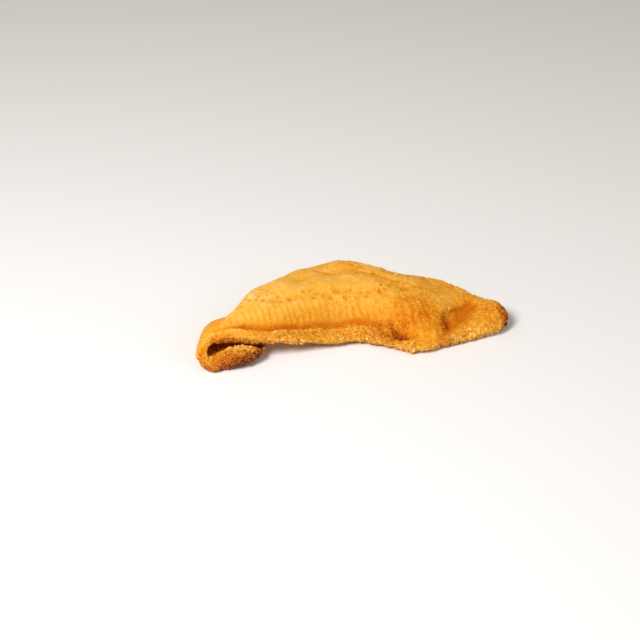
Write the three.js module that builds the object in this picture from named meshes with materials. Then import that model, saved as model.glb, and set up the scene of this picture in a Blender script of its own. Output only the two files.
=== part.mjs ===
// A crumbed, deep-fried fish fillet, modelled as the one solid piece that it is.
//
// Millimetres, +Z up. The tail points along +X and the thin belly edge faces -Y. The head end is narrow and
// is tucked under the body, as it curled in the oil. The fillet is described flat first, as a strip that
// runs from the tail, along the body, to the end of the tucked flap. At every place on the strip there is a
// height of crust above and below its rim line. The strip is then bent round the fold, and a ring of points
// is laid on each of its stations. Last of all the origin is put in the middle of the box, where the fillet
// rests.
import * as THREE from "three";

const degrees = THREE.MathUtils.degToRad;

// Driving dimensions.
const TAIL_X = 110; // tip of the tail
const FOLD_X = -97.5; // where the bend under the head end begins
const FOLD_RADIUS = 8.8; // of the rim line round the bend
const FOLD_YAW = degrees(28); // the bend is askew: its far side lies towards the tail
const YAW_FROM_X = -30; // the stations begin to turn towards the bend here
const FLAP_LENGTH = 34; // of the part that lies under the body
const FLAP_PITCH = degrees(4.5); // the flap rises a little towards its end
const FLAP_YAW = degrees(8); // and runs a little towards the front
const FLAP_SLIDE = new THREE.Vector3(-6, -4.5, 0); // how far the flap has slid, as the fold sagged
const FLAP_REST = 5.8; // height of the rim line above the table at the foot of the bend
// The inner face of the bend and the flap is dished between its two edges. across is as for the body's
// section.
const FLAP_DISH = { depth: 6.5, front: [-0.8, -0.25], back: [1, 0.6] };
// A lip stands along the front edge of the flap: it has curled up to the body. It rises between from and
// full, which are distances along the flap, and has gone at over.
const FLAP_LIP = { height: 9.4, across: -0.74, width: 0.19, from: -4, full: 20, over: 56 };
// The belly edge hangs down to the lip, behind it, between two pairs of places along X.
const HANG = { depth: 3.4, across: -0.88, width: 0.2 };
const HANG_SPAN = { from: -102, full: -93, fullTo: -76, to: -60 };
const TAIL_CURL = 3.5; // how far the underside of the tail tip is off the table
const TAIL_CURL_LENGTH = 34;
const REST_X = 4; // the underside lies flat from here towards the tail

// The flat outline and its thickness, at named places from the tail to the bend and on to the flap's end.
// at: where the place is along X, before it is bent; front and back: the two edges, as distances from the
// axis.
const PLACES = [
  { name: "tail tip", at: TAIL_X, front: -9, back: 9, thick: 13 },
  { name: "tail", at: 94, front: -14, back: 22, thick: 16 },
  { name: "hollow", at: 74, front: -17, back: 38, thick: 20 },
  { name: "lobe", at: 48, front: -24, back: 50, thick: 24.5 },
  { name: "lobe foot", at: 36, front: -24, back: 56, thick: 26 },
  { name: "notch", at: 24, front: -16.5, back: 63, thick: 27 },
  { name: "middle", at: 0, front: -6, back: 73, thick: 28 },
  { name: "shoulder", at: -30, front: -8.5, back: 63, thick: 26.5 },
  { name: "neck", at: -62, front: -12, back: 45, thick: 21 },
  { name: "nape", at: -84, front: -12, back: 38, thick: 15.5 },
  { name: "bend", at: FOLD_X, front: -12, back: 12, thick: 12 },
  { name: "fold", at: FOLD_X - 14, front: -13, back: 10, thick: 11.5 },
  { name: "foot of the fold", at: FOLD_X - 27, front: -18, back: 12, thick: 14 },
  { name: "flap", at: FOLD_X - 42, front: -17, back: 12, thick: 15.5 },
  { name: "flap end", at: FOLD_X - Math.PI * FOLD_RADIUS - FLAP_LENGTH, front: -10, back: 9, thick: 8 },
];
const TAIL_ROUND = 13; // length over which the tail's outline closes to a blunt end
const FLAP_ROUND = 10;
const END_SQUARENESS = 2.4; // power of the superellipse that closes both ends: 2 is round, more is squarer

// The section of the body. across runs from -1 at the front edge to 1 at the back edge.
const CROWN = { across: 0.3, fall: 0.26 }; // where the body is thickest, and how it thins away from there
const EDGE = { spread: 0.8, roundness: 0.62, thinnest: 1.5 }; // how blunt the section's two edges are
const RIM = { belly: 4.6, from: -40 }; // height of the rim line above the underside, kept up to here
const UNDERSIDE_FLATNESS = 1.09; // over 1, the middle of the underside is cut flat

// The belly is a low roll in front of the belly groove. It fades in and out between two pairs of places
// along X.
const ROLL = { thick: 10.2, sway: 0.6, swayLength: 9, inner: -0.66, outer: -0.38 };
const ROLL_SPAN = { from: -104, full: -84, fullTo: 20, to: 36 };

// The back edge has curled up off the table.
const WARP = { height: 8.5, across: 0.3 };
const WARP_SPAN = { from: -92, full: -40, fullTo: 62, to: 104 };

// Grooves that run along the fillet, each one wandering a little (drift) to the front and back.
const GROOVES = [
  { name: "belly", across: -0.63, drift: 0.02, from: -92, to: 30, width: 0.085, depth: 3.4 },
  { name: "midline", across: 0.12, drift: -0.32, from: -80, to: 58, width: 0.07, depth: 1.5 },
  { name: "dorsal", across: 0.44, drift: 0.05, from: -45, to: 42, width: 0.06, depth: 1.6 },
];
const GROOVE_FADE = 0.12; // share of its length over which a groove fades in, and out again
const GROOVE_WANDER = 3; // radians of the wander in a whole groove

// Mounds and, with a negative height, hollows on the upper face: middle, half-lengths along and across, and
// turn.
const MOUNDS = [
  { name: "lobe", x: 52, y: -4, along: 17, across: 17, turn: 0, height: 3.2 },
  { name: "lobe foot", x: 42, y: -17, along: 9, across: 7, turn: 0, height: 3 },
  { name: "hollow", x: 74, y: 0, along: 19, across: 8, turn: 42, height: -6.4 },
  { name: "tail pad", x: 98, y: 0, along: 12, across: 12, turn: 0, height: 2.4 },
  { name: "notch", x: 27.5, y: -11, along: 10, across: 4.2, turn: -41, height: -10 },
  { name: "back bump", x: 6, y: 66, along: 18, across: 9, turn: -12, height: 2.6 },
  { name: "back dip", x: 40, y: 52, along: 13, across: 10, turn: -30, height: -2.4 },
  { name: "loin rise", x: -6, y: 30, along: 42, across: 17, turn: 4, height: 1.6 },
];

// Slow waves that keep the faces from being regular: wave lengths along X and Y, and height.
const WAVES = [
  { x: 31, y: 47, phase: 0.4, height: 0.5 },
  { x: -19, y: 26, phase: 2.1, height: 0.35 },
  { x: 13, y: -34, phase: 4.0, height: 0.25 },
  { x: 9.5, y: 15, phase: 1.2, height: 0.18 },
];

// Number of rings along the body, the bend and the flap, and of points on the two faces of each ring.
const BODY_RINGS = 60;
const BEND_RINGS = 8;
const FLAP_RINGS = 11;
const UPPER_POINTS = 42;
const LOWER_POINTS = 18;
const END_CROWDING = 0.55; // how much closer together the rings are where an end closes

const CRUST = { colour: 0xe39a36, roughness: 0.62, metalness: 0 };

const BODY_LENGTH = TAIL_X - FOLD_X;
const BEND_LENGTH = Math.PI * FOLD_RADIUS;
const STRIP_LENGTH = BODY_LENGTH + BEND_LENGTH + FLAP_LENGTH;

const mix = THREE.MathUtils.lerp;
const clamp01 = (t) => THREE.MathUtils.clamp(t, 0, 1);
const bell = (t) => Math.exp(-t * t);

// Goes smoothly from 0 to 1 as t goes from one value to the other, whichever of them is the larger.
function ease(from, to, t) {
  const share = clamp01((t - from) / (to - from));
  return share * share * (3 - 2 * share);
}

// 1 in the full part of a span along X, and 0 outside it.
const within = (span, x) => ease(span.from, span.full, x) * ease(span.to, span.fullTo, x);

// A smooth curve through one of the numbers of PLACES, read by the distance from the tail tip.
function curveThrough(key) {
  const points = PLACES.map((place) => new THREE.Vector2(TAIL_X - place.at, place[key]));
  return (distance) => {
    let i = 1;
    while (i < points.length - 1 && points[i].x < distance) i++;
    const [a, b] = [points[i - 1], points[i]];
    const [before, after] = [points[i - 2] ?? a, points[i + 1] ?? b];
    const span = b.x - a.x;
    const t = clamp01((distance - a.x) / span);
    const slopeA = ((b.y - before.y) / (b.x - before.x)) * span;
    const slopeB = ((after.y - a.y) / (after.x - a.x)) * span;
    const [t2, t3] = [t * t, t * t * t];
    return (
      (2 * t3 - 3 * t2 + 1) * a.y + (t3 - 2 * t2 + t) * slopeA + (3 * t2 - 2 * t3) * b.y + (t3 - t2) * slopeB
    );
  };
}
const frontEdge = curveThrough("front");
const backEdge = curveThrough("back");
const thickness = curveThrough("thick");

// How nearly the outline has its full width: it closes in a quarter of a superellipse at each end of the
// strip.
function fullness(distance) {
  const quarter = (gap, radius) => {
    const t = clamp01(gap / radius);
    return Math.pow(1 - Math.pow(1 - t, END_SQUARENESS), 1 / END_SQUARENESS);
  };
  return quarter(distance, TAIL_ROUND) * quarter(STRIP_LENGTH - distance, FLAP_ROUND);
}

// Height of the underside above the table, for the part of the strip that is the body.
function underside(x) {
  const bendLift = 2 * FOLD_RADIUS + FLAP_REST - thickness(BODY_LENGTH) / 2;
  const tail = clamp01((x - (TAIL_X - TAIL_CURL_LENGTH)) / TAIL_CURL_LENGTH);
  return bendLift * ease(REST_X, FOLD_X, x) + TAIL_CURL * tail * tail;
}

function waves(x, y) {
  const wave = (w) => w.height * Math.sin(2 * Math.PI * (x / w.x + y / w.y) + w.phase);
  return WAVES.reduce((sum, w) => sum + wave(w), 0);
}

function grooves(x, across) {
  const cut = (groove) => {
    const share = (x - groove.from) / (groove.to - groove.from);
    const ends = ease(0, GROOVE_FADE, share) * ease(1, 1 - GROOVE_FADE, share);
    const middle = groove.across + groove.drift * Math.sin(GROOVE_WANDER * share);
    return groove.depth * ends * bell((across - middle) / groove.width);
  };
  return GROOVES.reduce((sum, groove) => sum + cut(groove), 0);
}

function mounds(x, y) {
  const rise = (mound) => {
    const turn = degrees(mound.turn);
    const [dx, dy] = [x - mound.x, y - mound.y];
    const u = (dx * Math.cos(turn) + dy * Math.sin(turn)) / mound.along;
    const v = (dy * Math.cos(turn) - dx * Math.sin(turn)) / mound.across;
    return mound.height * bell(Math.hypot(u, v));
  };
  return MOUNDS.reduce((sum, mound) => sum + rise(mound), 0);
}

// How far the body has warped up from the table at a place on it.
function warp(x, across) {
  const t = clamp01((across - WARP.across) / (1 - WARP.across));
  return WARP.height * within(WARP_SPAN, x) * t * t;
}

// Thickness of the body at a place on it.
function bodyThickness(distance, x, y, across) {
  const loin = thickness(distance) * (1 - CROWN.fall * Math.pow(across - CROWN.across, 2));
  const roll = ROLL.thick + ROLL.sway * Math.sin(x / ROLL.swayLength);
  const isRoll = ease(ROLL.outer, ROLL.inner, across) * within(ROLL_SPAN, x);
  return mix(loin, Math.min(loin, roll), isRoll) + mounds(x, y) - grooves(x, across) + waves(x, y);
}

// Depth of the dish at a distance past the start of the bend.
function flapDish(past, across) {
  const [front, back] = [FLAP_DISH.front, FLAP_DISH.back];
  return FLAP_DISH.depth * ease(0, BEND_LENGTH / 2, past) * ease(...front, across) * ease(...back, across);
}

// Height of the lip at a distance past the start of the bend.
function flapLip(past, across) {
  const along = past - BEND_LENGTH;
  const share = ease(FLAP_LIP.from, FLAP_LIP.full, along) * ease(FLAP_LIP.over, FLAP_LIP.full, along);
  return FLAP_LIP.height * share * bell((across - FLAP_LIP.across) / FLAP_LIP.width);
}

// How much lower than the rest of its underside the body's belly edge is.
function hang(x, across) {
  return HANG.depth * within(HANG_SPAN, x) * bell((across - HANG.across) / HANG.width);
}

// Where the rim line is at a distance from the tail tip, which way is across the strip and which way is up
// from its outer face, and how much of the thickness lies below the rim line.
function spineAt(distance) {
  const bodyDistance = Math.min(distance, BODY_LENGTH);
  const bodyX = TAIL_X - bodyDistance;
  const yaw = FOLD_YAW * ease(YAW_FROM_X, FOLD_X, bodyX);
  const rim = mix(RIM.belly, thickness(BODY_LENGTH) / 2, ease(RIM.from, FOLD_X, bodyX));
  const middle = (frontEdge(bodyDistance) + backEdge(bodyDistance)) / 2;
  const point = new THREE.Vector3(bodyX, middle, underside(bodyX) + rim);
  const across = new THREE.Vector3(Math.sin(yaw), Math.cos(yaw), 0);
  const up = new THREE.Vector3(0, 0, 1);
  const past = distance - BODY_LENGTH;
  if (past <= 0) return { point, across, up, rim };

  const ahead = new THREE.Vector3(-Math.cos(yaw), Math.sin(yaw), 0);
  const turn = Math.min(past / FOLD_RADIUS, Math.PI);
  const flapWay = new THREE.Vector3(Math.cos(FLAP_YAW), -Math.sin(FLAP_YAW), Math.tan(FLAP_PITCH));
  point
    .addScaledVector(ahead, FOLD_RADIUS * Math.sin(turn))
    .addScaledVector(up, FOLD_RADIUS * (Math.cos(turn) - 1))
    .addScaledVector(FLAP_SLIDE, ease(0, Math.PI, turn))
    .addScaledVector(flapWay, Math.max(0, past - BEND_LENGTH));
  const facing = ahead.multiplyScalar(Math.sin(turn)).addScaledVector(up, Math.cos(turn));
  return { point, across, up: facing, rim: thickness(distance) / 2 };
}

// The points of one ring, from the front edge over the outer face to the back edge, and back on the other
// face.
function ringAt(distance) {
  const spine = spineAt(distance);
  const onBody = distance <= BODY_LENGTH;
  const close = fullness(distance);
  const half = ((backEdge(distance) - frontEdge(distance)) / 2) * close;
  return Array.from({ length: UPPER_POINTS + LOWER_POINTS }, (_, i) => {
    const upper = i < UPPER_POINTS;
    const angle = Math.PI * (upper ? i / UPPER_POINTS : 1 + (i - UPPER_POINTS) / LOWER_POINTS);
    const across = -Math.sign(Math.cos(angle)) * Math.pow(Math.abs(Math.cos(angle)), EDGE.spread);
    const rounding = Math.pow(Math.abs(Math.sin(angle)), EDGE.roundness);
    const place = spine.point.clone().addScaledVector(spine.across, half * across);
    const thick = onBody
      ? bodyThickness(distance, place.x, place.y, across * close)
      : thickness(distance) + waves(distance, place.y);
    const above = Math.max(thick - spine.rim, EDGE.thinnest) * rounding;
    const past = distance - BODY_LENGTH;
    const extra = onBody ? hang(place.x, across) : flapLip(past, across) - flapDish(past, across);
    const below = -(spine.rim + extra) * Math.min(1, rounding * UNDERSIDE_FLATNESS);
    place.addScaledVector(spine.up, (upper ? above : below) * close);
    if (onBody) place.z += warp(place.x, across * close);
    place.z = Math.max(place.z, 0);
    return place;
  });
}

// Distances of the rings from the tail tip, closer together where the tail and the flap's end close.
function ringDistances() {
  const spread = (from, to, count, pace) =>
    Array.from({ length: count }, (_, i) => mix(from, to, pace((i + 1) / count)));
  const even = (t) => t;
  const slowStart = (t) => t - END_CROWDING * t * (1 - t) * (1 - t);
  const slowEnd = (t) => 1 - slowStart(1 - t);
  const bendEnd = BODY_LENGTH + BEND_LENGTH;
  return [
    ...spread(0, BODY_LENGTH, BODY_RINGS, slowStart),
    ...spread(BODY_LENGTH, bendEnd, BEND_RINGS, even),
    ...spread(bendEnd, STRIP_LENGTH, FLAP_RINGS, slowEnd).slice(0, -1),
  ];
}

// The closed skin: a band between each two rings, and a fan of triangles on a point at each end.
function filletGeometry() {
  const rings = ringDistances().map(ringAt);
  const around = rings[0].length;
  const points = [spineAt(0).point, ...rings.flat(), spineAt(STRIP_LENGTH).point];
  const last = points.length - 1;
  const corner = (ring, i) => 1 + ring * around + (i % around);
  const triangles = [];
  for (let i = 0; i < around; i++) {
    triangles.push(0, corner(0, i + 1), corner(0, i));
    triangles.push(last, corner(rings.length - 1, i), corner(rings.length - 1, i + 1));
    for (let ring = 0; ring < rings.length - 1; ring++) {
      const [a, b] = [corner(ring, i), corner(ring, i + 1)];
      const [c, d] = [corner(ring + 1, i + 1), corner(ring + 1, i)];
      triangles.push(a, b, c, a, c, d);
    }
  }
  return new THREE.BufferGeometry().setFromPoints(points).setIndex(triangles);
}

// Puts the origin in the middle of the box, at the height of the table.
function centre(geometry) {
  geometry.computeBoundingBox();
  const { min, max } = geometry.boundingBox;
  geometry.translate(-(min.x + max.x) / 2, -(min.y + max.y) / 2, -min.z);
  return geometry;
}

const crust = new THREE.MeshStandardMaterial({
  color: CRUST.colour,
  roughness: CRUST.roughness,
  metalness: CRUST.metalness,
});
const geometry = centre(filletGeometry());
geometry.computeVertexNormals();
const fillet = new THREE.Mesh(geometry, crust);
fillet.name = "fillet";

const group = new THREE.Group();
group.add(fillet);

export default group;
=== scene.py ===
# The looks of a crumbed, deep-fried fish fillet: its crust, the meal and crumbs on it, and a plain studio.
# The solid fillet of the frame is copied and remeshed finely. The copy gets the relief of the crust, and
# grains of meal and crumbs are then set into it as real meshes.
import math
from typing import NamedTuple

import bmesh
import bpy
import numpy as np
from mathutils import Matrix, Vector
from mathutils.bvhtree import BVHTree


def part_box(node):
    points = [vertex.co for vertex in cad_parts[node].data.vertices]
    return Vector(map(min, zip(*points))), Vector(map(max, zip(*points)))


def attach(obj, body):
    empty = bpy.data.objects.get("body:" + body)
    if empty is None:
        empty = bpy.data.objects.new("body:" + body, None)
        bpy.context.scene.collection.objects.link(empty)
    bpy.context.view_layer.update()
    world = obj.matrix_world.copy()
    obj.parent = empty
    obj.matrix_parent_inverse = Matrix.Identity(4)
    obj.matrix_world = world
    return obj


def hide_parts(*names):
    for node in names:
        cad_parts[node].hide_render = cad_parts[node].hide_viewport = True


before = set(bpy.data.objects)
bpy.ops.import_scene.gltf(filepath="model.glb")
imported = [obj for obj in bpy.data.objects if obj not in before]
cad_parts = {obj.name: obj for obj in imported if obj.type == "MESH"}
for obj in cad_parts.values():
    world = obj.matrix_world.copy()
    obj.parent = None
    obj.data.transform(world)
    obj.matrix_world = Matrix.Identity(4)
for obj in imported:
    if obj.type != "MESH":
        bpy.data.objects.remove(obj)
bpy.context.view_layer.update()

MM = 0.001
NODE = "fillet"
BODY = "root"

# The box of the solid. Places on the fillet are shares of it: u runs from the curled head end to the tail,
# v from the belly edge to the back and w from the table up.
LOW, HIGH = (np.array(corner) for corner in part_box(NODE))
SPAN = HIGH - LOW

SKIN_VOXEL = 0.70 * MM
SKIN_SINK = 0.45 * MM  # the skin lies this far inside the solid, and the crumbs fill the rest
TABLE_GAP = 0.15 * MM
PIT_DEPTH = 0.25 * MM  # how far the bottom of a plain pit in the crust lies below its surroundings
CAVE_REACH = 17 * MM  # faces nearer to each other than this are inside the curl of the head end
CAVE_SHARE = 0.32  # only the part of the fillet below this u is tested for that
CAVE_SHADE_LIMIT = 0.7  # how brown painted shade makes the deepest part of the curl at most
DIMPLE_DEPTH = 0.7 * MM
DIMPLE_SHADE = 0.14  # painted shade: how much browner the bottom of a dimple is drawn
DIMPLE_SPAN = (0.15, 0.70)  # from one u to the other
DIMPLE_STEP = 0.0135  # in u

# Lines on the upper face, as (u, v) points.
BELLY_GROOVE = (
    (0.09, 0.21),
    (0.16, 0.249),
    (0.23, 0.25),
    (0.34, 0.289),
    (0.45, 0.342),
    (0.52, 0.354),
    (0.62, 0.255),
)
DIMPLE_LINE = (
    (0.14, 0.42),
    (0.23, 0.44),
    (0.32, 0.465),
    (0.42, 0.50),
    (0.52, 0.485),
    (0.61, 0.52),
    (0.69, 0.51),
)
DORSAL_CREASE = ((0.42, 0.80), (0.47, 0.765), (0.52, 0.735), (0.57, 0.715), (0.61, 0.735))
DORSAL_BRANCH = ((0.53, 0.77), (0.555, 0.80), (0.58, 0.85))
NOTCH = ((0.609, 0.285), (0.628, 0.18), (0.654, 0.095))
LEDGE = ((0.55, 0.175), (0.60, 0.12), (0.64, 0.07), (0.665, 0.035))
HOLLOW = ((0.80, 0.14), (0.845, 0.24), (0.875, 0.33))
TAIL_RIM = ((0.785, 0.055), (0.84, 0.085), (0.885, 0.12))
# A band of painted shade at the foot of the lobe, by the tail's rim.
LOBE_FOOT_SHADE = ((0.785, 0.02), (0.781, 0.10), (0.788, 0.17))
# The lobe's edge over the hollow, as (v, u) points.
LOBE_EDGE = ((0.03, 0.755), (0.10, 0.766), (0.17, 0.772), (0.25, 0.80), (0.31, 0.835), (0.37, 0.875))

LOBE_CENTRE = (0.665, 1.0)  # the ribs of the lobe fan out from this u and v

# Named spots on the upper face: u, v and radius.
LOBE = (0.70, 0.24, 17 * MM)
LOBE_TONE = (0.70, 0.20, 22 * MM)
TAIL_PAD = (0.93, 0.22, 9 * MM)
BROWN_SPOTS = ((0.545, 0.85, 9 * MM), (0.90, 0.45, 4 * MM), (0.893, 0.31, 3 * MM))
CLOTS = ((0.663, 0.037, 2.0 * MM), (0.777, 0.13, 1.3 * MM), (0.735, 0.05, 3.0 * MM))  # lumps of crumb
PALE_SPOTS = ((0.738, 0.055, 4 * MM), (0.825, 0.42, 6 * MM), (0.45, 0.28, 7 * MM))

RIB_PITCH = 4.7 * MM
LOBE_RIB_PITCH = 0.064  # radians


# --------------------------------------------------------------------------------------------------
# Noise, worked out from positions, so that it doesn't depend on the order of the vertices.


def random_of(cell, seed):
    """A pseudo-random number from 0 to 1 for each cell of a grid."""
    x, y, z = (cell[..., i].astype(np.int64) for i in range(3))
    n = (x * 73856093) ^ (y * 19349663) ^ (z * 83492791) ^ (seed * 2654435761)
    n = (n ^ (n >> 13)) & 0xFFFFFFFF
    n = (n * 1274126177) & 0xFFFFFFFF
    n = (n ^ (n >> 16)) & 0xFFFFFFFF
    n = (n * 2246822519) & 0xFFFFFFFF
    return ((n ^ (n >> 15)) & 0xFFFFFFFF) / 2**32


CORNERS = np.array([(i, j, k) for i in (0, 1) for j in (0, 1) for k in (0, 1)])
NEIGHBOURS = np.array([(i, j, k) for i in (-1, 0, 1) for j in (-1, 0, 1) for k in (-1, 0, 1)])


def noise(points, size, seed):
    """Smooth noise from -1 to 1, with blobs of about this size."""
    q = points / size
    cell = np.floor(q)
    t = q - cell
    t = t * t * (3 - 2 * t)
    total = np.zeros(len(points))
    for corner in CORNERS:
        share = np.prod(np.where(corner == 1, t, 1 - t), axis=1)
        total += share * random_of(cell + corner, seed)
    return 2 * total - 1


def layered_noise(points, size, seed, layers=3):
    """Noise from -1 to 1 in which each layer is half as large and half as strong as the last."""
    total = np.zeros(len(points))
    for i in range(layers):
        total += noise(points, size / 2**i, seed + i) / 2**i
    return total / (2 - 2 ** (1 - layers))


def pebbles(points, size, seed):
    """Distance from the nearest seed of a jittered grid, in cells."""
    q = points / size
    cell = np.floor(q)
    nearest = np.full(len(points), 9.0)
    for step in NEIGHBOURS:
        there = cell + step
        seeds = there + np.stack([random_of(there, seed + i) for i in range(3)], axis=1)
        nearest = np.minimum(nearest, np.linalg.norm(seeds - q, axis=1))
    return nearest


# --------------------------------------------------------------------------------------------------
# Shaping functions.


def ease(start, end, t):
    """0 up to the start and 1 from the end on, with a smooth rise between them."""
    share = np.clip((t - start) / (end - start), 0, 1)
    return share * share * (3 - 2 * share)


def bell(t):
    """1 at 0, falling smoothly to 0 on both sides within about 2."""
    return np.exp(-(t**2))


def curve(line, place):
    """The second coordinate of a smooth curve through points, at a place along their first one."""
    at, values = (np.array(row, float) for row in zip(*line))
    slopes = np.gradient(values, at)
    i = np.clip(np.searchsorted(at, place) - 1, 0, len(at) - 2)
    span = at[i + 1] - at[i]
    t = np.clip((place - at[i]) / span, 0, 1)
    return (
        (2 * t**3 - 3 * t**2 + 1) * values[i]
        + (t**3 - 2 * t**2 + t) * span * slopes[i]
        + (3 * t**2 - 2 * t**3) * values[i + 1]
        + (t**3 - t**2) * span * slopes[i + 1]
    )


class Places:
    """Where points are on the fillet: u, v and w, and which part of it each belongs to."""

    def __init__(self, points, normals):
        self.points = points
        self.u, self.v, self.w = ((points - LOW) / SPAN).T
        self.plan = points[:, :2]
        self.up = normals[:, 2]
        under_curl = np.maximum(ease(0.46, 0.36, self.w), ease(0.15, 0.13, self.v))
        self.flap = ease(0.30, 0.24, self.u) * under_curl
        self.top = ease(-0.1, 0.45, self.up) * (1 - self.flap)

    def above(self, line):
        """Distance in the plan from a line of (u, v) points, towards the back."""
        return (self.v - curve(line, self.u)) * SPAN[1]

    def past(self, line):
        """Distance in the plan from a line of (v, u) points, towards the tail."""
        return (self.u - curve(line, self.v)) * SPAN[0]

    def within(self, start, full, full_end, end):
        """1 in the full part of a stretch of u, and 0 outside it."""
        return ease(start, full, self.u) * ease(end, full_end, self.u)

    def spot(self, place):
        """1 in the middle of a named spot, falling to 0 over its radius."""
        u, v, radius = place
        middle = LOW[:2] + SPAN[:2] * (u, v)
        return bell(np.linalg.norm(self.plan - middle, axis=1) / radius)

    def from_line(self, line):
        """Distance in the plan from the nearest stretch of a line of (u, v) points."""
        corners = LOW[:2] + SPAN[:2] * np.array(line)
        nearest = np.full(len(self.u), 1.0)
        for a, b in zip(corners[:-1], corners[1:]):
            t = np.clip((self.plan - a) @ (b - a) / np.dot(b - a, b - a), 0, 1)
            nearest = np.minimum(nearest, np.linalg.norm(self.plan - a - t[:, None] * (b - a), axis=1))
        return nearest


# --------------------------------------------------------------------------------------------------
# Mesh helpers.


def read_points(mesh):
    found = np.empty(len(mesh.vertices) * 3)
    mesh.vertices.foreach_get("co", found)
    return found.reshape(-1, 3)


def write_points(mesh, points):
    mesh.vertices.foreach_set("co", points.ravel())
    mesh.update()


def read_normals(mesh):
    found = np.empty(len(mesh.vertices) * 3)
    mesh.vertex_normals.foreach_get("vector", found)
    return found.reshape(-1, 3)


def write_value(mesh, name, values):
    mesh.attributes.new(name, "FLOAT", "POINT").data.foreach_set("value", values.astype(np.float32))


def read_edges(mesh):
    found = np.empty(len(mesh.edges) * 2, np.int32)
    mesh.edges.foreach_get("vertices", found)
    return found.reshape(-1, 2)


def averaged(values, edges, rounds):
    """Values blended with those of the neighbouring vertices, a number of times."""
    a, b = edges.T
    count = len(values)
    degree = np.bincount(a, minlength=count) + np.bincount(b, minlength=count)
    columns = values.reshape(count, -1)
    for _ in range(rounds):
        sums = np.stack(
            [
                np.bincount(a, weights=column[b], minlength=count)
                + np.bincount(b, weights=column[a], minlength=count)
                for column in columns.T
            ],
            axis=1,
        )
        columns = 0.5 * columns + 0.5 * sums / np.maximum(degree, 1)[:, None]
    return columns.reshape(values.shape)


def link(name, mesh):
    made = bpy.data.objects.new(name, mesh)
    bpy.context.scene.collection.objects.link(made)
    return made


def baked_mesh(piece):
    """The piece's mesh with its modifiers applied."""
    depsgraph = bpy.context.evaluated_depsgraph_get()
    return bpy.data.meshes.new_from_object(piece.evaluated_get(depsgraph), depsgraph=depsgraph)


# --------------------------------------------------------------------------------------------------
# The skin.


def shell_of(start, unseen):
    """Every vertex that edges join to the start, which leaves the unseen set."""
    unseen.remove(start)
    shell, front = {start}, [start]
    while front:
        vert = front.pop()
        for other in (edge.other_vert(vert) for edge in vert.link_edges):
            if other in unseen:
                unseen.remove(other)
                shell.add(other)
                front.append(other)
    return shell


def keep_largest_shell(mesh):
    """Deletes the pockets of a voxel or so that the remesh leaves inside a thin wall."""
    shape = bmesh.new()
    shape.from_mesh(mesh)
    unseen = set(shape.verts)
    largest = set()
    for vert in shape.verts:
        if vert in unseen:
            largest = max(largest, shell_of(vert, unseen), key=len)
    strays = [vert for vert in shape.verts if vert not in largest]
    bmesh.ops.delete(shape, geom=strays, context="VERTS")
    shape.to_mesh(mesh)
    shape.free()


def rounded_copy():
    """The solid with its facets rounded off, as even quads."""
    shape = bmesh.new()
    shape.from_mesh(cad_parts[NODE].data)
    bmesh.ops.remove_doubles(shape, verts=shape.verts, dist=0.01 * MM)
    bmesh.ops.join_triangles(
        shape,
        faces=shape.faces,
        angle_face_threshold=math.radians(60),
        angle_shape_threshold=math.radians(70),
    )
    mesh = bpy.data.meshes.new("crust_skin")
    shape.to_mesh(mesh)
    shape.free()
    skin = link("crust_skin", mesh)
    skin.modifiers.new("round", "SUBSURF").levels = 2
    remesh = skin.modifiers.new("even", "REMESH")
    remesh.mode = "VOXEL"
    remesh.voxel_size = SKIN_VOXEL
    skin.data = baked_mesh(skin)
    skin.modifiers.clear()
    keep_largest_shell(skin.data)
    return skin


def rib_waves(at):
    """Uneven ribs of muscle under the crust, above the belly groove and on the lobe: over 0 on a rib."""
    groove = at.above(BELLY_GROOVE)
    wander = 1.1 * MM * noise(at.points, 7 * MM, 5)
    belly_rib = 0.45 * np.sin(2 * math.pi * (at.points[:, 0] + 0.25 * groove + wander) / RIB_PITCH)
    belly = ease(0.8 * MM, 3 * MM, groove) * ease(17 * MM, 4 * MM, groove) * at.within(0.07, 0.14, 0.56, 0.62)

    x, y = (at.plan - LOW[:2] - SPAN[:2] * LOBE_CENTRE).T
    around = np.arctan2(x, -y) + 0.025 * noise(at.points, 11 * MM, 9)
    lobe_rib = 0.45 * np.sin(2 * math.pi * around / LOBE_RIB_PITCH)
    depth = 0.65 + 0.5 * noise(at.points, 8 * MM, 13)
    return belly_rib * belly * depth * at.top, lobe_rib * at.spot(LOBE) * depth * at.top


def muscle_relief(at):
    """The forms under the crust: creases, ribs, the notch, the lobe and the hollow behind it."""
    belly_ribs, lobe_ribs = rib_waves(at)
    height = 0.32 * MM * belly_ribs + 0.3 * MM * lobe_ribs
    groove = bell(at.above(BELLY_GROOVE) / (1.3 * MM)) * at.within(0.05, 0.12, 0.57, 0.62)
    height -= 0.9 * MM * groove * at.top
    height -= 0.4 * MM * bell(at.from_line(DORSAL_CREASE) / (1.4 * MM)) * at.top
    height -= 0.6 * MM * bell(at.from_line(DORSAL_BRANCH) / (1.3 * MM)) * at.top
    height -= 1.5 * MM * notch_field(at)
    height += 1.2 * MM * bell(at.from_line(LEDGE) / (3.5 * MM))
    height += 1.5 * MM * sum(at.spot(place) for place in CLOTS)
    height += 1.2 * MM * bell(at.from_line(TAIL_RIM) / (2 * MM)) * (0.3 + noise(at.points, 3 * MM, 15))
    return height + lobe_step(at)


def notch_field(at):
    """1 along the bottom of the ragged notch between the belly roll and the lobe."""
    ragged = at.from_line(NOTCH) + 0.7 * MM * noise(at.points, 2.5 * MM, 19)
    return bell(ragged / (1.7 * MM)) * ease(0.31, 0.24, at.v) * at.top


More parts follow.
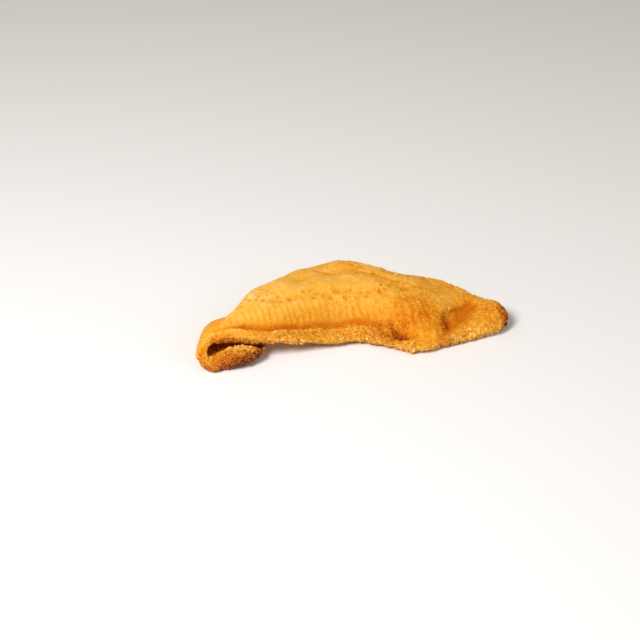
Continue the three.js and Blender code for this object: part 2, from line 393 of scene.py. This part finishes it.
def lobe_step(at):
    """The lobe ends in a rounded step over the hollow."""
    past = at.past(LOBE_EDGE) + 1.2 * MM * noise(at.points, 6 * MM, 17)
    swelling = 0.7 * MM * ease(-9 * MM, -3 * MM, past) * ease(2.6 * MM, -2.4 * MM, past)
    drop = 0.8 * MM * ease(-2.4 * MM, 2.6 * MM, past) * ease(15 * MM, 6 * MM, past)
    return (swelling - drop) * ease(0.03, 0.10, at.v) * ease(0.40, 0.32, at.v) * at.top


def dimple_field(at):
    """Small pits, in a loose double row along the middle of the fillet. 1 is the bottom of a pit."""
    rng = np.random.default_rng(11)
    depth = np.zeros(len(at.u))
    for u in np.arange(*DIMPLE_SPAN, DIMPLE_STEP):
        v = curve(DIMPLE_LINE, np.array([u]))[0] + 0.045 * rng.uniform(-1, 1)
        radius = rng.uniform(1.4, 2.6) * MM * (0.7 + 0.5 * ease(0.15, 0.4, u))
        place = (u + rng.uniform(-0.006, 0.006), v, radius)
        depth = np.maximum(depth, rng.uniform(0.4, 1.0) * at.spot(place))
    return depth * at.top


def roughness_map(at):
    """How coarse the crumb lies: from 0 on the sleek loin to 1 on the edges, the belly roll and the flap."""
    groove = at.above(BELLY_GROOVE)
    rough = 0.15 + 0.22 * ease(0.45, 0.8, at.u)
    on_roll = ease(0.5 * MM, -2.5 * MM, groove) * ease(0.66, 0.6, at.u)
    rough += 0.5 * on_roll * (0.45 + 0.55 * ease(0.08, 0.22, at.u))
    rough += 0.25 * ease(0.87, 0.92, at.u)
    rough += 0.4 * ease(0.35, -0.2, at.up)
    rough += 0.2 * ease(0.80, 0.95, at.v)
    rough += 0.45 * at.flap
    rough += 0.5 * bell(at.from_line(TAIL_RIM) / (3 * MM))
    rough += 0.6 * bell(at.from_line(LEDGE) / (4 * MM))
    rough += 0.1 * bell(at.past(LOBE_EDGE) / (3 * MM)) * ease(0.42, 0.35, at.v)
    rough -= 0.35 * bell(at.from_line(HOLLOW) / (5 * MM))
    patches = 0.6 * layered_noise(at.points, 16 * MM, 21) + 0.7 * noise(at.points, 6 * MM, 25)
    rough += (0.1 + 0.35 * rough) * patches
    return np.clip(rough, 0.05, 1)


def crumb_relief(points, rough):
    """The uneven surface of the crust itself: low lumps, clots of meal and single grains."""
    bent = points + 0.5 * MM * noise(points, 2 * MM, 8)[:, None]
    height = 0.35 * MM * layered_noise(points, 11 * MM, 31)
    height += 0.7 * MM * noise(points, 4.6 * MM, 35) * rough
    height += 1.4 * MM * (0.5 - pebbles(bent, 3.6 * MM, 41)) * rough
    height += 1.0 * MM * (0.5 - pebbles(points, 2.0 * MM, 47)) * (0.06 + 0.94 * rough)
    return height


def shelter(mesh, points, normals, chosen):
    """1 where the chosen vertices closely face another part of the skin, as in the curl, and 0 elsewhere."""
    tree = BVHTree.FromPolygons(points.tolist(), [tuple(face.vertices) for face in mesh.polygons])
    found = np.zeros(len(points))
    for i in np.flatnonzero(chosen):
        way = Vector(normals[i])
        distance = tree.ray_cast(Vector(points[i]) + way * MM, way, CAVE_REACH)[3]
        found[i] = 0 if distance is None else 1 - distance / CAVE_REACH
    return ease(0, 0.5, averaged(found, read_edges(mesh), 4))


def belly_shade_and_toast(at):
    """Painted shade in the belly groove and deepening towards it from above, browner on the roll below it,
    and a painted highlight on the crest of the roll.
    """
    groove = at.above(BELLY_GROOVE)
    # Painted shade from 13 mm above the groove, full from 2 mm above it and on down.
    above = 0.14 * ease(13 * MM, 2 * MM, groove) * at.within(0.1, 0.3, 0.6, 0.7) * at.top
    groove_shade = 0.20 * bell(groove / (1.6 * MM)) * at.within(0.1, 0.16, 0.57, 0.62) * at.top
    # Browner on the roll, with a painted highlight along its crest 3 mm below the groove.
    roll = 0.12 * ease(0, -4 * MM, groove) - 0.2 * bell(groove / MM + 3)
    return above + groove_shade + roll * ease(0.66, 0.6, at.u)


def lobe_shade_and_toast(at):
    """Painted shade in the notch, on the lobe's edge over the hollow and in a band at its foot; browner on
    the lobe; browner in the hollow, partly painted shade of the recess.
    """
    edge = bell((at.past(LOBE_EDGE) - 0.5 * MM) / (4 * MM)) * ease(0.44, 0.36, at.v)
    foot_shade = bell(at.from_line(LOBE_FOOT_SHADE) / (2.5 * MM)) * ease(0.24, 0.18, at.v)
    hollow_tone_and_shade = bell(at.from_line(HOLLOW) / (5.5 * MM)) * ease(-0.3, 0.4, at.up)
    # The edge term is painted shade on the slope that faces away from the light.
    on_top = 0.14 * edge + 0.29 * at.spot(LOBE_TONE)
    return 0.26 * notch_field(at) + 0.28 * hollow_tone_and_shade + 0.13 * foot_shade + on_top * at.top


def patches_and_crease_shade(at):
    """Browner and paler patches on the upper face, and painted shade in the crease along the back."""
    brown = 0.18 * sum(at.spot(place) for place in BROWN_SPOTS) + 0.17 * at.spot(TAIL_PAD)
    pale = 0.12 * sum(at.spot(place) for place in PALE_SPOTS)
    crease_shade = 0.15 * bell(at.from_line(DORSAL_CREASE) / (1.5 * MM))
    return (brown - pale + crease_shade) * at.top


def end_toast_and_shade(at):
    """Brown at the tip of the tail; browner on the flap, partly painted shade of the fillet above it; and
    painted shade on what faces down.
    """
    tail = 0.50 * ease(0.95, 0.985, at.u) - 0.05 * bell(at.from_line(TAIL_RIM) / (2.5 * MM))
    # Browner on the flap, more so towards the tail and lower down: part browning, part painted shade.
    flap = (0.02 + 0.50 * ease(0.04, 0.15, at.u)) * ease(0.28, 0.20, at.u) * ease(0.56, 0.30, at.w)
    # The last term is painted shade on what faces down.
    return tail + flap + 0.15 * ease(0.25, -0.35, at.up)


def toast_and_shade_map(at, curl_shade):
    """How brown the crust is drawn, from 0 pale gold to 1 dark brown: how far it is fried, with painted shade
    and light added.
    """
    belly_ribs, lobe_ribs = rib_waves(at)
    toast_and_shade = 0.20 + 0.12 * ease(0.48, 0.78, at.u) + 0.21 * ease(0.16, 0.07, at.u)
    # Painted light on the crests of the ribs and painted shade between them.
    toast_and_shade -= 0.15 * (belly_ribs + lobe_ribs)
    toast_and_shade += belly_shade_and_toast(at) + lobe_shade_and_toast(at) + patches_and_crease_shade(at) + end_toast_and_shade(at)
    # Painted shade inside the curl: pale crust is drawn up to 0.26 browner, not past the limit; browner crust
    # is drawn paler towards it so it doesn't look charred.
    toast_and_shade = np.minimum(toast_and_shade + 0.26 * curl_shade, np.maximum(CAVE_SHADE_LIMIT, toast_and_shade - 0.6 * curl_shade))
    toast_and_shade += 0.10 * layered_noise(at.points, 17 * MM, 61)
    toast_and_shade += (0.04 + 0.10 * ease(0.4, 0.7, at.u)) * layered_noise(at.points, 5 * MM, 65)
    return toast_and_shade


def pit_shade_field(points, normals, edges, toast_and_shade):
    """Painted shade and light: 1 in a pit of the crust, which is drawn browner, and -1 on a bump, which is
    drawn paler, with less of both where the crust is brown.
    """
    depth = np.einsum("ij,ij->i", averaged(points, edges, 6) - points, normals) / PIT_DEPTH
    return np.clip(averaged(depth, edges, 1), -1, 1) * (1 - 0.75 * ease(0.35, 0.75, toast_and_shade))


def make_skin():
    """The crust's skin with its relief, and the maps that its material and the crumbs read."""
    skin = rounded_copy()
    mesh = skin.data
    edges = read_edges(mesh)
    points = averaged(read_points(mesh), edges, 2)
    write_points(mesh, points)
    normals = averaged(read_normals(mesh), edges, 2)
    at = Places(points, normals)
    rough = roughness_map(at)
    dimples = dimple_field(at)
    # How much painted shade the inside of the curl gets: 1 where the skin closely faces another part of it.
    curl_shade = shelter(mesh, points, normals, at.u < CAVE_SHARE) * ease(0.13, 0.21, at.v)
    # The bottoms of the dimples get painted shade.
    toast_and_shade = toast_and_shade_map(at, curl_shade) + DIMPLE_SHADE * dimples
    shaped = muscle_relief(at) - DIMPLE_DEPTH * dimples - SKIN_SINK
    points = points + normals * shaped[:, None]
    write_points(mesh, points)

    normals = averaged(read_normals(mesh), edges, 1)
    points = points + normals * crumb_relief(points, rough)[:, None]
    points[:, 2] = np.maximum(points[:, 2], TABLE_GAP)
    write_points(mesh, points)

    # Painted shade in the pits of the crust and painted light on its bumps.
    pit_shade = pit_shade_field(points, normals, edges, toast_and_shade)
    write_value(mesh, "rough", rough)
    write_value(mesh, "dimple_shade", dimples)
    write_value(mesh, "pit_shade", pit_shade)
    write_value(mesh, "toast_and_shade", np.clip(toast_and_shade + 0.12 * pit_shade, 0, 1))
    mesh.polygons.foreach_set("use_smooth", [True] * len(mesh.polygons))
    return skin


# --------------------------------------------------------------------------------------------------
# Grains and crumbs.


class Grain(NamedTuple):
    """A kind of grain on the crust."""

    name: str
    count: int
    radii: tuple  # smallest and largest
    detail: int  # 0 for a grain of 8 faces, 1 for 20 and 2 for 80
    smooth_share: float  # how many lie on sleek crust for each one that lies on rough crust
    darker: float  # how much more toasted than the skin
    spread: float  # how far the grains differ in that
    seed: int
    sunk: float = 0.25  # how far the middle lies below the skin, as a share of the radius
    flattest: float = 0.6


GRAINS = (
    Grain("meal_pale", 24000, (0.34 * MM, 0.58 * MM), 0, 0.36, -0.02, 0.38, seed=101),
    Grain("meal_brown", 21000, (0.32 * MM, 0.56 * MM), 0, 0.15, 0.09, 0.45, seed=102),
    Grain("meal_coarse", 9200, (0.5 * MM, 0.95 * MM), 1, 0.06, 0.0, 0.65, seed=103),
    Grain("crumbs", 900, (0.8 * MM, 1.5 * MM), 2, 0.0, -0.06, 0.6, seed=104, sunk=0.4, flattest=0.5),
)
SPECKS = Grain("specks", 90, (0.28 * MM, 0.45 * MM), 1, 1.0, 0.0, 0.0, seed=105)
SHAPES = 16  # different grains of each kind
SWELL = (0.8, 1.2)  # how far each corner of a grain lies in or out, which makes it uneven
PALER = 0.62  # share of the grains that are less toasted than their kind's middle tone


def unit_grain(detail):
    """The points and triangles of a grain of radius 1, before it is made uneven."""
    if detail == 0:
        points = ((1, 0, 0), (0, 1, 0), (-1, 0, 0), (0, -1, 0), (0, 0, 1), (0, 0, -1))
        upper = [(i, (i + 1) % 4, 4) for i in range(4)]
        lower = [((i + 1) % 4, i, 5) for i in range(4)]
        return np.array(points, float), np.array(upper + lower)
    shape = bmesh.new()
    bmesh.ops.create_icosphere(shape, subdivisions=detail, radius=1)
    shape.verts.index_update()
    points = np.array([vertex.co for vertex in shape.verts])
    faces = np.array([[vertex.index for vertex in face.verts] for face in shape.faces])
    shape.free()
    return points, faces


def turns(rng, count):
    """Random rotation matrices."""
    q = rng.normal(size=(count, 4))
    w, x, y, z = (q / np.linalg.norm(q, axis=1, keepdims=True)).T
    rows = (
        (1 - 2 * (y * y + z * z), 2 * (x * y - z * w), 2 * (x * z + y * w)),
        (2 * (x * y + z * w), 1 - 2 * (x * x + z * z), 2 * (y * z - x * w)),
        (2 * (x * z - y * w), 2 * (y * z + x * w), 1 - 2 * (x * x + y * y)),
    )
    return np.stack([np.stack(row, axis=1) for row in rows], axis=1)


class Ground:
    """The skin as triangles, from which places for grains are drawn."""

    def __init__(self, skin):
        mesh = skin.data
        mesh.calc_loop_triangles()
        corners = np.empty(len(mesh.loop_triangles) * 3, np.int32)
        mesh.loop_triangles.foreach_get("vertices", corners)
        self.corners = corners.reshape(-1, 3)
        self.points = read_points(mesh)
        self.normals = read_normals(mesh)
        self.toast_and_shade = self.read(mesh, "toast_and_shade")
        self.rough = self.read(mesh, "rough")
        a, b, c = (self.points[self.corners[:, i]] for i in range(3))
        self.areas = np.linalg.norm(np.cross(b - a, c - a), axis=1) / 2

    @staticmethod
    def read(mesh, name):
        values = np.empty(len(mesh.vertices), np.float32)
        mesh.attributes[name].data.foreach_get("value", values)
        return values

    def scatter(self, rng, count, smooth_share):
        """Places on the skin, more of them where it is rough: points, normals, toast with painted shade, and
        roughness.
        """
        share = self.areas * (smooth_share + (1 - smooth_share) * self.rough[self.corners].mean(axis=1) ** 2)
        chosen = self.corners[np.searchsorted(np.cumsum(share) / share.sum(), rng.random(count))]
        r, s = np.sqrt(rng.random(count)), rng.random(count)
        parts = np.stack([1 - r, r * (1 - s), r * s], axis=1)
        points = (self.points[chosen] * parts[:, :, None]).sum(axis=1)
        normals = (self.normals[chosen] * parts[:, :, None]).sum(axis=1)
        normals /= np.linalg.norm(normals, axis=1, keepdims=True)
        return points, normals, *((values[chosen] * parts).sum(axis=1) for values in (self.toast_and_shade, self.rough))


def colour_map(mesh, template, faces, count):
    """A flat map on which each grain has a small square of its own, as it is all one colour."""
    side = math.ceil(math.sqrt(count))
    squares = np.stack(np.divmod(np.arange(count), side), axis=1)
    flat = (squares[:, None] + 0.5 + 0.4 * template[None, :, :2]) / side
    layer = mesh.uv_layers.new(name="OFBake", do_init=False)
    layer.uv.foreach_set("vector", flat[:, faces.ravel()].astype(np.float32).ravel())


def grain_points(rng, kind, shapes, places, normals):
    """The points of each grain, which is turned at random and set a little into the skin."""
    radius = np.exp(rng.uniform(*np.log(kind.radii), kind.count))
    stretch = rng.uniform(kind.flattest, 1, (kind.count, 1, 3))
    local = shapes[rng.integers(SHAPES, size=kind.count)] * stretch
    local = np.einsum("nij,nkj->nki", turns(rng, kind.count), local) * radius[:, None, None]
    centres = places - normals * (radius * kind.sunk)[:, None]
    points = centres[:, None, :] + local
    points[:, :, 2] = np.maximum(points[:, :, 2], TABLE_GAP)
    return points


def mesh_of_grains(name, points, faces):
    """One mesh with the same triangles for each row of points."""
    count, corners = points.shape[:2]
    mesh = bpy.data.meshes.new(name)
    mesh.vertices.add(count * corners)
    mesh.vertices.foreach_set("co", points.ravel())
    indices = (faces[None] + corners * np.arange(count)[:, None, None]).ravel()
    mesh.loops.add(len(indices))
    mesh.loops.foreach_set("vertex_index", indices.astype(np.int32))
    mesh.polygons.add(count * len(faces))
    mesh.polygons.foreach_set("loop_start", np.arange(0, len(indices), 3, dtype=np.int32))
    mesh.update(calc_edges=True)
    return mesh


def toast_change(rng, kind, toast_and_shade, rough):
    """How much browner than the skin each grain is, with less of it where the skin is brown already."""
    change = kind.darker + kind.spread * (0.35 + 0.65 * rough) * (rng.random(kind.count) - PALER)
    return change * np.where(change > 0, 1 - 0.6 * ease(0.4, 0.8, toast_and_shade), 1)


def make_grains(ground, kind):
    """One piece that holds all the grains of a kind, each of them uneven."""
    rng = np.random.default_rng(kind.seed)
    template, faces = unit_grain(kind.detail)
    shapes = template * rng.uniform(*SWELL, (SHAPES, len(template), 1))
    places, normals, toast_and_shade, rough = ground.scatter(rng, kind.count, kind.smooth_share)
    mesh = mesh_of_grains(kind.name, grain_points(rng, kind, shapes, places, normals), faces)
    toast_and_shade += toast_change(rng, kind, toast_and_shade, rough)
    write_value(mesh, "toast_and_shade", np.repeat(toast_and_shade, len(template)))
    colour_map(mesh, template, faces, kind.count)
    return link(kind.name, mesh)


# --------------------------------------------------------------------------------------------------
# Materials.


def channel(value):
    """One channel of a colour for a shader, from its usual screen value of 0 to 255."""
    share = value / 255
    return share / 12.92 if share <= 0.04045 else ((share + 0.055) / 1.055) ** 2.4


def linear(red, green, blue):
    return (channel(red), channel(green), channel(blue), 1.0)


# How the crust's colour goes from pale gold to dark brown as it is fried, and as painted shade darkens it.
CRUST_COLOURS = (
    (0.00, linear(252, 217, 144)),
    (0.12, linear(244, 186, 82)),
    (0.30, linear(237, 167, 52)),
    (0.50, linear(220, 138, 22)),
    (0.68, linear(197, 103, 5)),
    (0.84, linear(156, 68, 7)),
    (1.00, linear(84, 32, 6)),
)
GLOW_REACH = (1.0, 0.35, 0.08)  # how far red, green and blue light spread under the surface, as shares
SPECK_COLOURS = ((0.0, linear(48, 24, 8)), (1.0, linear(90, 48, 16)))


class Nodes:
    """A short way of writing a shader's nodes."""

    def __init__(self, name):
        self.material = bpy.data.materials.new(name)
        self.material.use_nodes = True
        self.tree = self.material.node_tree
        self.shader = self.tree.nodes["Principled BSDF"]

    def add(self, kind, settings=(), **inputs):
        node = self.tree.nodes.new("ShaderNode" + kind)
        for key, value in dict(settings).items():
            setattr(node, key, value)
        for key, value in inputs.items():
            self.set(node.inputs[key.replace("_", " ")], value)
        return node

    def set(self, socket, value):
        if isinstance(value, bpy.types.NodeSocket):
            self.tree.links.new(value, socket)
        else:
            socket.default_value = value

    def settings(self, **values):
        for key, value in values.items():
            self.set(self.shader.inputs[key.replace("_", " ")], value)

    def value(self, name):
        return self.add("Attribute", {"attribute_name": name}).outputs["Fac"]

    def math(self, operation, a, b=0.0):
        node = self.add("Math", {"operation": operation})
        self.set(node.inputs[0], a)
        self.set(node.inputs[1], b)
        return node.outputs[0]

    def centred(self, value, amount):
        """(value - 0.5) times amount."""
        return self.math("MULTIPLY", self.math("SUBTRACT", value, 0.5), amount)

    def noise(self, size, detail=3.0):
        where = self.add("TexCoord").outputs["Object"]
        return self.add("TexNoise", Vector=where, Scale=1 / size, Detail=detail, Roughness=0.6).outputs["Fac"]

    def cells(self, size):
        """Distance to the nearest of some scattered seeds, and a random number for each seed."""
        where = self.add("TexCoord").outputs["Object"]
        node = self.add("TexVoronoi", Vector=where, Scale=1 / size)
        return node.outputs["Distance"], self.add("SeparateColor", Color=node.outputs["Color"]).outputs[0]

    def ramp(self, value, stops):
        node = self.add("ValToRGB", Fac=value)
        elements = node.color_ramp.elements
        while len(elements) < len(stops):
            elements.new(0.5)
        for element, (position, colour) in zip(elements, stops):
            element.position = position
            element.color = colour
        return node.outputs["Color"]


def skin_material():
    n = Nodes("crust_skin")
    mottle = n.noise(1.6 * MM, 2.0)
    speck, speck_tone = n.cells(0.95 * MM)
    coarse = n.math("ADD", n.value("rough"), 0.09)
    toast_and_shade = n.value("toast_and_shade")
    for change in (
        # Painted shade in pits and painted light on bumps.
        n.math("MULTIPLY", n.value("pit_shade"), 0.18),
        n.math("MULTIPLY", n.centred(mottle, 0.6), coarse),
        n.math("MULTIPLY", n.centred(speck_tone, 0.4), coarse),
        # Painted shade in the dimples.
        n.math("MULTIPLY", n.value("dimple_shade"), 0.08),
    ):
        toast_and_shade = n.math("ADD", toast_and_shade, change)
    fine = n.noise(0.55 * MM, 2.0)
    relief = n.math("MULTIPLY", n.math("SUBTRACT", fine, speck), coarse)
    grain = n.add("Bump", Strength=1.0, Distance=0.4 * MM, Height=relief)
    n.settings(
        Base_Color=n.ramp(toast_and_shade, CRUST_COLOURS),
        Roughness=n.math("ADD", 0.45, n.centred(mottle, 0.3)),
        Normal=grain.outputs["Normal"],
        Specular_IOR_Level=0.06,
        Subsurface_Weight=0.2,
        Subsurface_Radius=GLOW_REACH,
        Subsurface_Scale=1.5 * MM,
    )
    return n.material


def grain_material(name):
    """Meal or crumb, each grain as brown as the skin round it, painted shade included, and a step lighter or
    darker.
    """
    n = Nodes(name)
    n.settings(Base_Color=n.ramp(n.value("toast_and_shade"), CRUST_COLOURS), Roughness=0.32, Specular_IOR_Level=0.35)
    n.settings(Subsurface_Weight=0.25, Subsurface_Radius=GLOW_REACH, Subsurface_Scale=1.0 * MM)
    return n.material


def speck_material():
    n = Nodes("specks")
    n.settings(Base_Color=n.ramp(n.math("ADD", n.value("toast_and_shade"), 0.2), SPECK_COLOURS), Roughness=0.6)
    return n.material


# --------------------------------------------------------------------------------------------------
# The studio. Azimuth 0 is in front, on the -Y side.

CAMERA = {
    "azimuth": -10.8,
    "elevation": 35.0,
    "lens": 85.0,
    "distance": 1.075,
    "aim": (0.4032, 0.3878, 0.385),
}
FLOOR_REACH = 3.0
FLOOR_COLOUR = (0.88, 0.88, 0.88, 1)
WORLD_COLOUR = (1, 0.88, 0.74, 1)
WORLD_STRENGTH = 0.32
KEY_LIGHT = {"azimuth": -50, "elevation": 48, "distance": 1.2, "size": 0.5, "power": 14.0}
FILL_LIGHT = {"azimuth": 60, "elevation": 30, "distance": 1.4, "size": 1.0, "power": 3.6}


def direction(azimuth, elevation):
    """The way from the object to a camera or light."""
    a, e = math.radians(azimuth), math.radians(elevation)
    return np.array((math.sin(a) * math.cos(e), -math.cos(a) * math.cos(e), math.sin(e)))


def place_aimed(name, data, place, target):
    thing = link(name, data)
    thing.location = place
    thing.rotation_mode = "QUATERNION"
    thing.rotation_quaternion = Vector(target - place).to_track_quat("-Z", "Y")
    return thing


def make_camera():
    data = bpy.data.cameras.new("camera")
    data.lens = CAMERA["lens"]
    data.clip_start = 0.01
    target = LOW + SPAN * CAMERA["aim"]
    place = target + CAMERA["distance"] * direction(CAMERA["azimuth"], CAMERA["elevation"])
    bpy.context.scene.camera = place_aimed("camera", data, place, target)


def make_light(name, azimuth, elevation, distance, size, power):
    data = bpy.data.lights.new(name, "AREA")
    data.shape = "DISK"
    data.size = size
    data.energy = power
    middle = (LOW + HIGH) / 2
    place_aimed(name, data, middle + distance * direction(azimuth, elevation), middle)


def make_floor():
    mesh = bpy.data.meshes.new("floor")
    corners = [(x * FLOOR_REACH, y * FLOOR_REACH, 0) for x, y in ((-1, -1), (1, -1), (1, 1), (-1, 1))]
    mesh.from_pydata(corners, [], [(0, 1, 2, 3)])
    floor = link("floor", mesh)
    n = Nodes("floor")
    n.settings(Base_Color=FLOOR_COLOUR, Roughness=0.9)
    floor.data.materials.append(n.material)


def make_world():
    world = bpy.data.worlds.new("studio")
    world.use_nodes = True
    background = world.node_tree.nodes["Background"]
    background.inputs["Color"].default_value = WORLD_COLOUR
    background.inputs["Strength"].default_value = WORLD_STRENGTH
    bpy.context.scene.world = world
    bpy.context.scene.view_settings.view_transform = "Standard"


# --------------------------------------------------------------------------------------------------


def finish_piece(piece, material):
    piece.data.materials.append(material)
    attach(piece, BODY)


def main():
    skin = make_skin()
    finish_piece(skin, skin_material())
    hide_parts(NODE)
    ground = Ground(skin)
    for kind in GRAINS:
        finish_piece(make_grains(ground, kind), grain_material(kind.name))
    finish_piece(make_grains(ground, SPECKS), speck_material())

    make_camera()
    make_floor()
    make_world()
    make_light("key", **KEY_LIGHT)
    make_light("fill", **FILL_LIGHT)


main()
